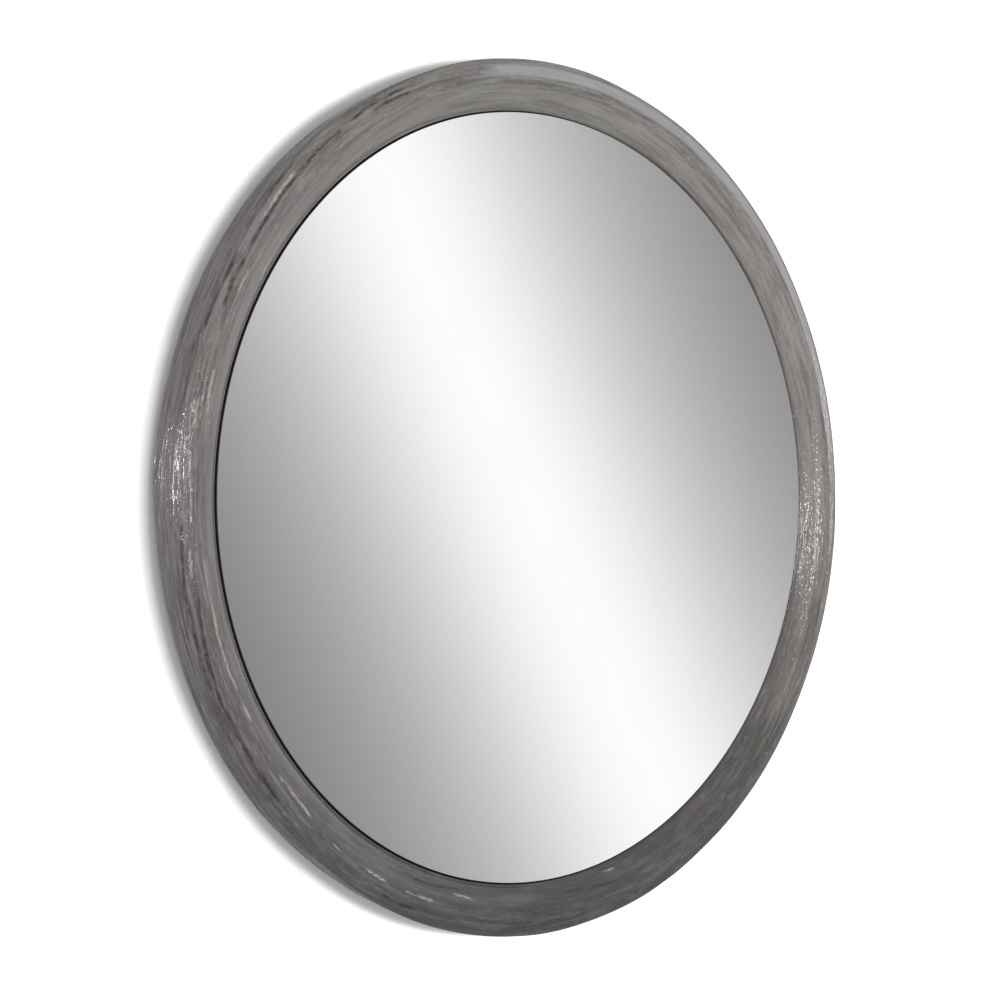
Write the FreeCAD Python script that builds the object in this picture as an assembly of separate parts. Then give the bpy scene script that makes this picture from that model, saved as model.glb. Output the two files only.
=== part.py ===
import FreeCAD
import Part
import math
import os

# Round wall mirror: a flat pane bonded to a board inside a ring of cast acrylic sections.
# Millimetres. The pane faces -Y, +Z is up, and the wall is the plane y = 0.
# The origin is the centre of the ring on the wall plane.
# Radius is measured from the Y axis, and height from the back of the board towards the room.

# Ring, seen from the front and in section
outer_radius = 457.0
face_width = 51.5
crest_setback = 19.0
crest_height = 46.0
wall_height = 36.5
face_bow = 4.0
lip_round = 1.8
shell_wall = 5.0
hollow_chamfer = 6.0
section_count = 6
joint_gap = 0.2
glue_gap = 0.3

# Carved reeds that run along the outer wall and over the shoulder
reed_pitch = 7.3
reed_depth = 0.8

# Board, adhesive and pane, in the order in which they stack up from the back
board_thickness = 16.0
board_arris = 0.8
adhesive_thickness = 4.0
bead_width = 14.0
bead_margin = 50.0
bead_count = 7
pane_thickness = 5.0
pane_arris = 0.6
pane_gap = 1.2
pane_edge_shown = 3.3

# Countersunk screws from the board into the core ring
board_screw_radius = 2.0
board_screw_head_radius = 4.0
board_screw_head_height = 2.4
board_screw_bite = 15.0
screws_per_section = 2
screw_tip = 3.0
screw_clearance = 0.05

# Strap hangers with a swinging D-shaped ring
hanger_angle = 22.3
wire_radius = 1.5
ring_half_width = 11.0
ring_corner = 3.0
ring_leg = 7.0
ring_clearance = 0.1
strap_sheet = 1.2
strap_width = 13.0
strap_fold_run = 6.5
strap_hole_radius = 2.1
near_hole_drop = 11.0
hole_spacing = 13.5
hanger_screw_radius = 1.75
hanger_screw_bite = 11.6
pan_head_radius = 3.5
pan_head_height = 2.2
pan_land_share = 0.6
pan_side_share = 0.45

# Rubber bumpers that rest on the wall
bumper_height = 6.0
bumper_radius = 8.0
bumper_taper = 1.6
bumper_skirt = 1.2
bumper_angle = 36.0

# Overrun of every cut past the face that it starts from
overrun = 1.0

# Sizes and counts that follow from those above
wall_reeds = round(wall_height / reed_pitch)
shoulder_run = math.pi / 2 * math.hypot(crest_setback, crest_height - wall_height) / math.sqrt(2)
shoulder_reeds = round(shoulder_run / reed_pitch)
rim_radius = outer_radius - face_width
pane_radius = rim_radius - pane_gap
pane_front = board_thickness + adhesive_thickness + pane_thickness
lip_height = pane_front - pane_edge_shown
core_outer_radius = outer_radius - shell_wall - glue_gap
back_plane = -bumper_height
section_turn = 360 / section_count
loop_radius = wire_radius + ring_clearance + strap_sheet
far_hole_drop = near_hole_drop + hole_spacing
ring_axis = FreeCAD.Vector(0, back_plane + loop_radius, 0)
centre = FreeCAD.Vector(0, 0, 0)
to_room = FreeCAD.Vector(0, -1, 0)
to_wall = FreeCAD.Vector(0, 1, 0)


def spot(radius, height):
    """Point of the ring's section at three o'clock."""
    return FreeCAD.Vector(radius, back_plane - height, 0)


def place(radius, angle):
    """Point on the wall plane at a radius and at an angle from three o'clock towards the top."""
    turn = math.radians(angle)
    return FreeCAD.Vector(radius * math.cos(turn), 0, radius * math.sin(turn))


def line(start, end):
    return Part.LineSegment(start, end).toShape()


def arc(start, middle, end):
    return Part.Arc(start, middle, end).toShape()


def chain(points):
    """Straight edges from each point to the next."""
    return [line(points[k], points[k + 1]) for k in range(len(points) - 1)]


def turned(outline, axis_spot):
    """Full turn of an outline of (radius, y) points about an axis along Y."""
    points = [axis_spot + FreeCAD.Vector(radius, y, 0) for radius, y in outline]
    face = Part.Face(Part.Wire(chain(points + points[:1])))
    return face.revolve(axis_spot, to_wall, 360)


def wall_point(share, inset):
    """Point up the outer wall, from its back edge at 0 to the shoulder at 1."""
    return spot(outer_radius - inset, wall_height * share)


def shoulder_point(share, inset):
    """Point round the elliptical shoulder, from the wall at 0 to the crest at 1."""
    turn = math.radians(90 * share)
    rise = crest_height - wall_height
    across = math.cos(turn) / crest_setback
    along = math.sin(turn) / rise
    slant = math.hypot(across, along)
    radius = outer_radius - crest_setback * (1 - math.cos(turn)) - inset * across / slant
    height = wall_height + rise * math.sin(turn) - inset * along / slant
    return spot(radius, height)


def reeds(curve, count):
    """Rounded reeds side by side along a curve, which touches their crowns."""
    edges = []
    for k in range(count):
        start = curve(k / count, reed_depth)
        crown = curve((2 * k + 1) / (2 * count), 0)
        end = curve((k + 1) / count, reed_depth)
        edges.append(arc(start, crown, end))
    return edges


crest_point = shoulder_point(1, reed_depth)
foot_point = spot(rim_radius + lip_round, lip_height + lip_round)


def inner_face(depth):
    """Bowed inner face from crest to foot, or the curve that lies a depth under it."""
    chord = foot_point - crest_point
    middle = (crest_point + foot_point) / 2
    outward = FreeCAD.Vector(-chord.y, chord.x, 0).normalize()
    half = chord.Length / 2
    radius = (half * half + face_bow * face_bow) / (2 * face_bow)
    hub = middle - outward * (radius - face_bow)
    crown = middle + outward * face_bow
    share = (radius - depth) / radius
    return [hub + (point - hub) * share for point in (crest_point, crown, foot_point)]


def hollow(inset, base_height):
    """Edges round the hollow of the shell, from the outer wall over to the foot."""
    crest_side, crown, foot_side = inner_face(shell_wall + inset)
    wall_radius = outer_radius - shell_wall - inset
    top = back_plane - crest_side.y
    edges = chain([
        spot(wall_radius, base_height),
        spot(wall_radius, top - hollow_chamfer),
        spot(wall_radius - hollow_chamfer, top),
        crest_side,
    ])
    edges.append(arc(crest_side, crown, foot_side))
    return edges, foot_side.x, wall_radius


def shell_face():
    """Section of the cast acrylic ring."""
    edges = reeds(wall_point, wall_reeds) + reeds(shoulder_point, shoulder_reeds)
    crest_side, crown, foot_side = inner_face(0)
    edges.append(arc(crest_side, crown, foot_side))
    slant = lip_round * math.sqrt(2) / 2
    lip_middle = spot(rim_radius + lip_round - slant, lip_height + slant)
    edges.append(arc(foot_side, lip_middle, spot(rim_radius, lip_height)))
    hollow_edges, hollow_foot, hollow_wall = hollow(0, 0)
    rim_base = board_thickness + glue_gap
    edges += chain([
        spot(rim_radius, lip_height),
        spot(rim_radius, rim_base),
        spot(hollow_foot, rim_base),
        inner_face(shell_wall)[2],
    ])
    edges += hollow_edges[::-1]
    edges.append(line(spot(hollow_wall, 0), wall_point(0, reed_depth)))
    return Part.Face(Part.Wire(Part.__sortEdges__(edges)))


def core_face():
    """Section of the core ring that fills the shell and stands on the board."""
    edges, foot_radius, wall_radius = hollow(glue_gap, board_thickness)
    edges += chain([
        inner_face(shell_wall + glue_gap)[2],
        spot(foot_radius, board_thickness),
        spot(wall_radius, board_thickness),
    ])
    return Part.Face(Part.Wire(Part.__sortEdges__(edges)))


def ring_section(face, start_turn):
    """One sixth of a ring, with half a joint gap left at each end."""
    gap_turn = math.degrees(joint_gap / outer_radius)
    solid = face.revolve(centre, to_room, section_turn - gap_turn)
    solid.rotate(centre, to_room, start_turn + gap_turn / 2)
    return solid


core_foot_radius = inner_face(shell_wall + glue_gap)[2].x
core_mid_radius = (core_foot_radius + core_outer_radius) / 2


def shank_end(shank, end, grow):
    """Pointed end of a screw, or with grow the flat end of its pilot hole."""
    if grow:
        return [(shank, end - grow), (0, end - grow)]
    return [(shank, end + screw_tip), (0, end)]


def board_screw(axis_spot, grow):
    """Countersunk screw, or with grow the hole that it needs."""
    shank = board_screw_radius + grow
    head = board_screw_head_radius + grow
    neck = back_plane - board_screw_head_height
    end = back_plane - board_thickness - board_screw_bite
    outline = [
        (0, back_plane),
        (head, back_plane),
        (shank, neck),
    ]
    if grow:
        outline[0] = (0, back_plane + overrun)
        outline.insert(1, (head, back_plane + overrun))
    return turned(outline + shank_end(shank, end, grow), axis_spot)


def board_screw_spots():
    step = section_turn / screws_per_section
    count = section_count * screws_per_section
    return [place(core_mid_radius, step * k + step / 2) for k in range(count)]


def hanger_spot(side):
    """Middle of the ring's bar, on the wall plane. Side is 1 for right and -1 for left."""
    spot_right = place(core_mid_radius, hanger_angle)
    return FreeCAD.Vector(side * spot_right.x, 0, spot_right.z)


def hanger_screw(axis_spot, grow):
    """Pan-head screw through the strap, or with grow the hole that it needs in the board."""
    shank = hanger_screw_radius + grow
    seat = back_plane + 2 * strap_sheet
    end = back_plane - hanger_screw_bite
    tip = shank_end(shank, end, grow)
    if grow:
        return turned([(0, seat), (shank, seat)] + tip, axis_spot)
    head = [
        (0, seat + pan_head_height),
        (pan_head_radius * pan_land_share, seat + pan_head_height),
        (pan_head_radius, seat + pan_head_height * pan_side_share),
        (pan_head_radius, seat),
        (shank, seat),
    ]
    return turned(head + tip, axis_spot)


def hanger_screw_spots(side):
    drops = (near_hole_drop, far_hole_drop)
    return [hanger_spot(side) - FreeCAD.Vector(0, 0, drop) for drop in drops]


def backboard():
    """Round board with holes for its own screws and for those of the hangers."""
    edge = core_outer_radius
    outline = [
        (0, back_plane),
        (edge - board_arris, back_plane),
        (edge, back_plane - board_arris),
        (edge, back_plane - board_thickness),
        (0, back_plane - board_thickness),
    ]
    board = turned(outline, centre)
    holes = [board_screw(axis_spot, screw_clearance) for axis_spot in board_screw_spots()]
    for side in (-1, 1):
        holes += [hanger_screw(axis_spot, screw_clearance) for axis_spot in hanger_screw_spots(side)]
    return board.cut(Part.makeCompound(holes))


def core_section(index):
    """One sixth of the core, its joints midway between those of the shell."""
    start = section_turn * index - section_turn / 2
    holes = [board_screw(axis_spot, screw_clearance) for axis_spot in board_screw_spots()]
    return ring_section(core_face(), start).cut(Part.makeCompound(holes))


def adhesive_beads():
    """Upright beads of mirror adhesive, evenly spaced across the board and pressed flat by the pane."""
    reach = pane_radius - bead_margin
    front = back_plane - board_thickness - adhesive_thickness
    beads = []
    for k in range(bead_count):
        across = reach * (2 * (k + 1) / (bead_count + 1) - 1)
        half_length = math.sqrt(reach * reach - across * across)
        corner = FreeCAD.Vector(across - bead_width / 2, front, -half_length)
        beads.append(Part.makeBox(bead_width, adhesive_thickness, 2 * half_length, corner))
    return Part.makeCompound(beads)


def mirror_pane():
    """Round pane with a flat ground edge and a small arris on both faces."""
    front = back_plane - pane_front
    back = front + pane_thickness
    outline = [
        (0, back),
        (pane_radius - pane_arris, back),
        (pane_radius, back - pane_arris),
        (pane_radius, front + pane_arris),
        (pane_radius - pane_arris, front),
        (0, front),
    ]
    return turned(outline, centre)


def fold_touch(radius, end_height):
    """Drop and height where a straight fold that ends flat on the strap leaves a round of the loop."""
    rise = end_height - loop_radius
    turn = math.atan2(rise, strap_fold_run) + math.acos(radius / math.hypot(strap_fold_run, rise))
    return radius * math.cos(turn), loop_radius + radius * math.sin(turn)


def hanger_strap(side):
    """Sheet strap folded round the ring's bar, both layers screwed to the board."""
    axis = ring_axis + hanger_spot(side)
    length = far_hole_drop + strap_width / 2

    def at(drop, height):
        return FreeCAD.Vector(axis.x - strap_width / 2, back_plane + height, axis.z - drop)

    touch = at(*fold_touch(loop_radius, 2 * strap_sheet))
    outer = [arc(at(0, 0), at(-loop_radius, loop_radius), touch)]
    outer += chain([
        touch,
        at(strap_fold_run, 2 * strap_sheet),
        at(length, 2 * strap_sheet),
        at(length, 0),
        at(0, 0),
    ])
    bore = loop_radius - strap_sheet
    touch = at(*fold_touch(bore, strap_sheet))
    inner = [arc(at(0, strap_sheet), at(-bore, loop_radius), touch)]
    inner += chain([touch, at(strap_fold_run, strap_sheet), at(0, strap_sheet)])
    sheet = FreeCAD.Vector(strap_width, 0, 0)
    strap = Part.Face(Part.Wire(outer)).extrude(sheet).cut(Part.Face(Part.Wire(inner)).extrude(sheet))
    end_spot = hanger_spot(side) + FreeCAD.Vector(0, back_plane - overrun, -far_hole_drop)
    through = 2 * (loop_radius + overrun)
    plan = Part.makeBox(strap_width, through, far_hole_drop + loop_radius + overrun)
    plan.translate(end_spot - FreeCAD.Vector(strap_width / 2, 0, 0))
    plan = plan.fuse(Part.makeCylinder(strap_width / 2, through, end_spot, to_wall))
    holes = []
    for hole_spot in hanger_screw_spots(side):
        base = hole_spot + FreeCAD.Vector(0, back_plane - overrun, 0)
        holes.append(Part.makeCylinder(strap_hole_radius, through, base, to_wall))
    return strap.common(plan).cut(Part.makeCompound(holes))


def hanger_ring(side):
    """Round wire bent to a D, its straight bar held in the strap's loop."""
    axis = ring_axis + hanger_spot(side)
    flat = ring_half_width - ring_corner

    def at(across, up):
        return axis + FreeCAD.Vector(across, 0, up)

    def wire_end(across, up, along):
        return Part.Face(Part.Wire(Part.makeCircle(wire_radius, at(across, up), along)))

    along_bar = FreeCAD.Vector(1, 0, 0)
    up_leg = FreeCAD.Vector(0, 0, 1)
    bar = wire_end(-flat, 0, along_bar).extrude(along_bar * 2 * flat)
    bow = wire_end(ring_half_width, ring_leg, up_leg).revolve(at(0, ring_leg), to_room, 180)
    bends_and_legs = []
    for hand in (-1, 1):
        bend = wire_end(hand * flat, 0, along_bar).revolve(at(hand * flat, ring_corner), to_room * hand, 90)
        leg = wire_end(hand * ring_half_width, ring_corner, up_leg).extrude(up_leg * (ring_leg - ring_corner))
        bends_and_legs += [bend, leg]
    return bar.fuse([bow] + bends_and_legs)


def wall_bumpers():
    """Four stick-on rubber bumpers, flat where they meet the wall."""
    outline = [
        (0, back_plane),
        (bumper_radius, back_plane),
        (bumper_radius, back_plane + bumper_skirt),
        (bumper_radius - bumper_taper, 0),
        (0, 0),
    ]
    angles = (bumper_angle, 180 - bumper_angle, 180 + bumper_angle, 360 - bumper_angle)
    return Part.makeCompound([turned(outline, place(core_mid_radius, angle)) for angle in angles])


def all_parts():
    parts = {}
    for index in range(section_count):
        parts[f"frame_section_{index + 1}"] = ring_section(shell_face(), section_turn * index)
        parts[f"core_section_{index + 1}"] = core_section(index)
    parts["backboard"] = backboard()
    parts["board_screws"] = Part.makeCompound([board_screw(axis_spot, 0) for axis_spot in board_screw_spots()])
    parts["adhesive_beads"] = adhesive_beads()
    parts["mirror_pane"] = mirror_pane()
    for name, side in (("left", -1), ("right", 1)):
        parts[f"hanger_strap_{name}"] = hanger_strap(side)
        parts[f"hanger_ring_{name}"] = hanger_ring(side)
        screws = [hanger_screw(axis_spot, 0) for axis_spot in hanger_screw_spots(side)]
        parts[f"hanger_screws_{name}"] = Part.makeCompound(screws)
    parts["wall_bumpers"] = wall_bumpers()
    return parts


os.makedirs("parts", exist_ok=True)
for name, shape in all_parts().items():
    shape.exportStep(f"parts/{name}.step")
    print(f"{name}: {len(shape.Solids)} solids, {shape.Volume / 1000:.2f} cm3, valid {shape.isValid()}")
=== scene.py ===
import bmesh
import bpy
import math
from mathutils import Matrix, Vector, noise


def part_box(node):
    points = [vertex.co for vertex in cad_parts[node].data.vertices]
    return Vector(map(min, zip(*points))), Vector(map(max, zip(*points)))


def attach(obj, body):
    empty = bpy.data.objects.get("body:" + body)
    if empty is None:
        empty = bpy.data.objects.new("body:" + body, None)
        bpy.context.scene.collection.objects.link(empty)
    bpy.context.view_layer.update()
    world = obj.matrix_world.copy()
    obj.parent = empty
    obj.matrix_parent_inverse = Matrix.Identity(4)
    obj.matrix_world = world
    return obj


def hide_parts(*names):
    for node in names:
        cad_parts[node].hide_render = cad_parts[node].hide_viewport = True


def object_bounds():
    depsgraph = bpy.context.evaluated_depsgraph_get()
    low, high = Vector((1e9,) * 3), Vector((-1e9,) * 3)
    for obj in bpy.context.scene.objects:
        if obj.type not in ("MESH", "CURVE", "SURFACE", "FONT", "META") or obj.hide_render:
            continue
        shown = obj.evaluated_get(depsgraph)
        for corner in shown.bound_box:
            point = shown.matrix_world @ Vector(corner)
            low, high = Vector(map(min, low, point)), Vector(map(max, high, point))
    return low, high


# Round wall mirror: a silvered pane bonded to a board, inside six carved sections of cast acrylic.
# Metres. The pane faces -Y, +Z is up, and the wall is the plane y = 0.

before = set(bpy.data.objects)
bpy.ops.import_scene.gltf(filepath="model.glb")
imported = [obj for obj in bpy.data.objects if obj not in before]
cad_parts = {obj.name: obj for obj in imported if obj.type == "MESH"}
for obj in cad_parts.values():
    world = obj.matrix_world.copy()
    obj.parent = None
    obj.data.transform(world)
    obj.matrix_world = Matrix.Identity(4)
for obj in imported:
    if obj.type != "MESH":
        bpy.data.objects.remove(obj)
cad_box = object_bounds()


# Backboard
# A round panel of medium-density fibreboard, sawn to a circle and rolled with matt black paint.
# The pane is bonded to its front, and the ring is screwed to it from the back.
ROLLER_STIPPLE = 0.0022
PAINT_STREAK = 0.06
board_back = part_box("backboard")[1].y
board_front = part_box("backboard")[0].y
board_thickness = board_back - board_front


def colour(code):
    """Linear colour of an sRGB hex value."""
    levels = [int(code[k:k + 2], 16) / 255 for k in (0, 2, 4)]
    return [c / 12.92 if c <= 0.04045 else ((c + 0.055) / 1.055) ** 2.4 for c in levels] + [1]


def add(tree, kind, inputs=None, **settings):
    """Adds a shader node with its settings, and fills its inputs with values or with links."""
    node = tree.nodes.new("ShaderNode" + kind)
    for name, value in settings.items():
        setattr(node, name, value)
    for name, value in (inputs or {}).items():
        if isinstance(value, bpy.types.NodeSocket):
            tree.links.new(value, node.inputs[name])
        else:
            node.inputs[name].default_value = value
    return node


def new_finish(name, **constants):
    """A material with a Principled shader, whose sockets take the constants."""
    material = bpy.data.materials.new(name)
    material.use_nodes = True
    shader = material.node_tree.nodes["Principled BSDF"]
    for socket, value in constants.items():
        shader.inputs[socket.replace("_", " ")].default_value = value
    return material, material.node_tree, shader


def dress(tree, shader, tone, roughness, relief=None):
    """Links the colour, the roughness and the relief of a finish to its shader."""
    tree.links.new(tone.outputs[2], shader.inputs["Base Color"])
    tree.links.new(roughness.outputs[0], shader.inputs["Roughness"])
    if relief:
        tree.links.new(relief.outputs[0], shader.inputs["Normal"])


def finish_cad(node, material):
    """Gives a CAD node's object its material."""
    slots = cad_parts[node].data.materials
    slots.clear()
    slots.append(material)


def rolled_black_paint():
    """Matt acrylic paint from a foam roller: a fine stipple, with faint wider bands from its passes."""
    material, tree, shader = new_finish("rolled_matt_black_paint_on_fibreboard", IOR=1.5)
    place = add(tree, "TexCoord").outputs["Object"]
    stipple = add(tree, "TexNoise", {"Vector": place, "Scale": 1 / ROLLER_STIPPLE, "Detail": 3.0})
    passes = add(tree, "Mapping", {"Vector": place, "Scale": (1 / PAINT_STREAK, 1.0, 1.0)})
    bands = add(tree, "TexNoise", {"Vector": passes.outputs[0], "Scale": 1.0, "Detail": 2.0})
    tone = add(tree, "Mix", {0: bands.outputs[0], 6: colour("1b1b1c"), 7: colour("28282a")}, data_type="RGBA")
    sheen = add(tree, "MapRange", {"Value": stipple.outputs[0], "To Min": 0.55, "To Max": 0.75})
    relief = add(tree, "Bump", {"Height": stipple.outputs[0], "Strength": 0.35, "Distance": 0.0002})
    dress(tree, shader, tone, sheen, relief)
    return material


finish_cad("backboard", rolled_black_paint())


# Adhesive beads
# Upright beads of neutral-cure mirror adhesive, gunned onto the board and pressed flat by the pane.
# They are hidden once the mirror is together.
ADHESIVE_SKIN = 0.004


def cured_adhesive():
    """Cured silicone: off-white and rubbery, with a slightly uneven skin."""
    material, tree, shader = new_finish("cured_neutral_silicone", IOR=1.41)
    place = add(tree, "TexCoord").outputs["Object"]
    skin = add(tree, "TexNoise", {"Vector": place, "Scale": 1 / ADHESIVE_SKIN, "Detail": 2.0})
    tone = add(tree, "Mix", {0: skin.outputs[0], 6: colour("b9b3a2"), 7: colour("d2cdbd")}, data_type="RGBA")
    sheen = add(tree, "MapRange", {"Value": skin.outputs[0], "To Min": 0.35, "To Max": 0.5})
    relief = add(tree, "Bump", {"Height": skin.outputs[0], "Strength": 0.4, "Distance": 0.0005})
    dress(tree, shader, tone, sheen, relief)
    return material


finish_cad("adhesive_beads", cured_adhesive())


# Mirror pane
# 5 mm float glass cut to a circle, its edge ground flat with a small arris, silvered on the back.
# It stands a few millimetres proud of the ring's inner lip, so that its ground edge shows.
PANE_ARRIS = 0.0006
PANE_STEPS = 360
SAME_SPOT = 1e-7
# The grinding wheel's marks are about 0.1 mm long, and are drawn eight times as coarse so that they show.
GRINDING_MARK = 0.0008
HAZE_PATCH = 0.09
pane_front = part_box("mirror_pane")[0].y
pane_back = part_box("mirror_pane")[1].y
pane_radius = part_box("mirror_pane")[1].x


def turned(outline, centre, steps):
    """Mesh turned about an axis along Y from (radius, y) points, the first and last on the axis."""
    mesh = bmesh.new()
    ring = [mesh.verts.new(centre + Vector((radius, y, 0))) for radius, y in outline]
    edges = [mesh.edges.new((ring[k], ring[k + 1])) for k in range(len(ring) - 1)]
    bmesh.ops.spin(
        mesh, geom=ring + edges, cent=centre, axis=(0, 1, 0), angle=2 * math.pi, steps=steps, use_merge=True
    )
    bmesh.ops.remove_doubles(mesh, verts=mesh.verts, dist=SAME_SPOT)
    bmesh.ops.recalc_face_normals(mesh, faces=mesh.faces)
    return mesh


def new_piece(name, mesh, *materials):
    """Object at the origin made from a bmesh, which it frees."""
    data = bpy.data.meshes.new(name)
    mesh.to_mesh(data)
    mesh.free()
    for material in materials:
        data.materials.append(material)
    piece = bpy.data.objects.new(name, data)
    bpy.context.scene.collection.objects.link(piece)
    return piece


def stand_for(piece, body, slot, *nodes):
    """The piece rides on a body and stands for its CAD nodes, which it hides. The slot is not used."""
    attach(piece, body)
    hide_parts(*nodes)


def silvered_glass():
    """Silvered float glass: a clean, neutral mirror, with a haze too faint to see as a mark."""
    material, tree, shader = new_finish("silvered_float_glass", Metallic=1.0)
    place = add(tree, "TexCoord").outputs["Object"]
    haze = add(tree, "TexNoise", {"Vector": place, "Scale": 1 / HAZE_PATCH, "Detail": 4.0})
    tone = add(tree, "Mix", {0: haze.outputs[0], 6: colour("fafafa"), 7: colour("fdfdfd")}, data_type="RGBA")
    blur = add(tree, "MapRange", {"Value": haze.outputs[0], "To Min": 0.008, "To Max": 0.016})
    dress(tree, shader, tone, blur)
    return material


def ground_glass_edge():
    """Glass edge off a diamond wheel: grey-green, and dark because the silver lets no light in behind it."""
    material, tree, shader = new_finish("wheel_ground_glass_edge", IOR=1.52)
    place = add(tree, "TexCoord").outputs["Object"]
    marks = add(tree, "TexNoise", {"Vector": place, "Scale": 1 / GRINDING_MARK, "Detail": 3.0})
    tone = add(tree, "Mix", {0: marks.outputs[0], 6: colour("333835"), 7: colour("4d534f")}, data_type="RGBA")
    sheen = add(tree, "MapRange", {"Value": marks.outputs[0], "To Min": 0.35, "To Max": 0.6})
    relief = add(tree, "Bump", {"Height": marks.outputs[0], "Strength": 0.3, "Distance": 0.0001})
    dress(tree, shader, tone, sheen, relief)
    return material


def backing_paint():
    """Grey curtain-coated paint over the silver: flat and slightly satin."""
    material, tree, shader = new_finish("curtain_coated_backing_paint", IOR=1.5)
    place = add(tree, "TexCoord").outputs["Object"]
    flow = add(tree, "TexNoise", {"Vector": place, "Scale": 1 / HAZE_PATCH, "Detail": 2.0})
    tone = add(tree, "Mix", {0: flow.outputs[0], 6: colour("585b5c"), 7: colour("65696a")}, data_type="RGBA")
    sheen = add(tree, "MapRange", {"Value": flow.outputs[0], "To Min": 0.4, "To Max": 0.5})
    dress(tree, shader, tone, sheen)
    return material


def mirror_pane():
    outline = [
        (0, pane_back),
        (pane_radius - PANE_ARRIS, pane_back),
        (pane_radius, pane_back - PANE_ARRIS),
        (pane_radius, pane_front + PANE_ARRIS),
        (pane_radius - PANE_ARRIS, pane_front),
        (0, pane_front),
    ]
    mesh = turned(outline, Vector((0, 0, 0)), PANE_STEPS)
    mesh.normal_update()
    for face in mesh.faces:
        facing = face.normal.y
        face.material_index = 1
        if abs(facing) > 0.9:
            face.material_index = 0 if facing < 0 else 2
    return new_piece("silvered_pane", mesh, silvered_glass(), ground_glass_edge(), backing_paint())


pane = mirror_pane()
stand_for(pane, "mirror", "mirror_glass", "mirror_pane")


# Core sections
# Six sections of fibreboard routed to the hollow of the ring, glued in and screwed to the board.
# They are hidden once the mirror is together.
FIBRE = 0.0015


def routed_fibreboard():
    """Medium-density fibreboard off the router: matt, warm brown, with fine darker fibres."""
    material, tree, shader = new_finish("routed_medium_density_fibreboard", IOR=1.45)
    place = add(tree, "TexCoord").outputs["Object"]
    fibre = add(tree, "TexNoise", {"Vector": place, "Scale": 1 / FIBRE, "Detail": 4.0})
    tone = add(tree, "Mix", {0: fibre.outputs[0], 6: colour("7d654c"), 7: colour("b39a7c")}, data_type="RGBA")
    sheen = add(tree, "MapRange", {"Value": fibre.outputs[0], "To Min": 0.8, "To Max": 0.95})
    relief = add(tree, "Bump", {"Height": fibre.outputs[0], "Strength": 0.5, "Distance": 0.0002})
    dress(tree, shader, tone, sheen, relief)
    return material


core_finish = routed_fibreboard()
core_nodes = sorted(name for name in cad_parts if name.startswith("core_section"))
for name in core_nodes:
    finish_cad(name, core_finish)


# Board screws
# Twelve countersunk wood screws, driven through the back of the board into the core, their heads flush.
# Zinc-plated and yellow-passivated steel with a rolled thread and a pressed cross recess.
SCREW_COUNT = 12
SCREW_RADIUS = 0.002
THREAD_DEPTH = 0.0005
THREAD_PITCH = 0.0016
THREAD_ROOT = 0.9
THREAD_STEPS = 12
TIP_LENGTH = 0.003
HEAD_RADIUS = 0.004
HEAD_HEIGHT = 0.0024
HEAD_EASE = (0.0002, 0.0003)
HEAD_STEPS = 32
RECESS_REACH = 0.0024
RECESS_ARM = 0.00045
RECESS_DEPTH = 0.0014
RECESS_TAPER = 0.6
SCREW_TURN = 0.61
PLATING_CLOUD = 0.0024
screw_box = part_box("board_screws")
screw_ring_radius = (screw_box[1].x - HEAD_RADIUS) / math.cos(math.pi / SCREW_COUNT)


def plated_steel(name, dark, light, low, high):
    """Barrel-plated steel: a soft metal sheen with faint clouding from the bath."""
    material, tree, shader = new_finish(name, Metallic=1.0)
    place = add(tree, "TexCoord").outputs["Object"]
    bath = add(tree, "TexNoise", {"Vector": place, "Scale": 1 / PLATING_CLOUD, "Detail": 4.0})
    tone = add(tree, "Mix", {0: bath.outputs[0], 6: colour(dark), 7: colour(light)}, data_type="RGBA")
    sheen = add(tree, "MapRange", {"Value": bath.outputs[0], "To Min": low, "To Max": high})
    relief = add(tree, "Bump", {"Height": bath.outputs[0], "Strength": 0.15, "Distance": 0.0001})
    dress(tree, shader, tone, sheen, relief)
    return material


def of_kind(items, kind):
    """The items of one bmesh type."""
    return [item for item in items if isinstance(item, kind)]


def flat_top(mesh, top):
    """Faces that lie flat at a height along Y, and their edges and vertices."""
    faces = [face for face in mesh.faces if all(abs(vert.co.y - top) < SAME_SPOT for vert in face.verts)]
    edges = {edge for face in faces for edge in face.edges}
    verts = {vert for face in faces for vert in face.verts}
    return faces, list(verts) + list(edges) + faces


def cross_recess(mesh, top):
    """Sinks a tapered cross into a flat round top that has a ring of edges at the cross's reach."""
    for normal in (Vector((1, 0, 0)), Vector((0, 0, 1))):
        for side in (-RECESS_ARM, RECESS_ARM):
            bmesh.ops.bisect_plane(
                mesh, geom=flat_top(mesh, top)[1], dist=SAME_SPOT, plane_co=normal * side, plane_no=normal
            )
    cross = []
    for face in flat_top(mesh, top)[0]:
        middle = face.calc_center_median()
        if middle.xz.length < RECESS_REACH and min(abs(middle.x), abs(middle.z)) < RECESS_ARM:
            cross.append(face)
    sunk = bmesh.ops.extrude_face_region(mesh, geom=cross)["geom"]
    bmesh.ops.delete(mesh, geom=cross, context="FACES_ONLY")
    floor_verts = of_kind(sunk, bmesh.types.BMVert)
    bmesh.ops.translate(mesh, verts=floor_verts, vec=(0, -RECESS_DEPTH, 0))
    bmesh.ops.scale(mesh, verts=floor_verts, vec=(RECESS_TAPER, 1, RECESS_TAPER))


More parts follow.
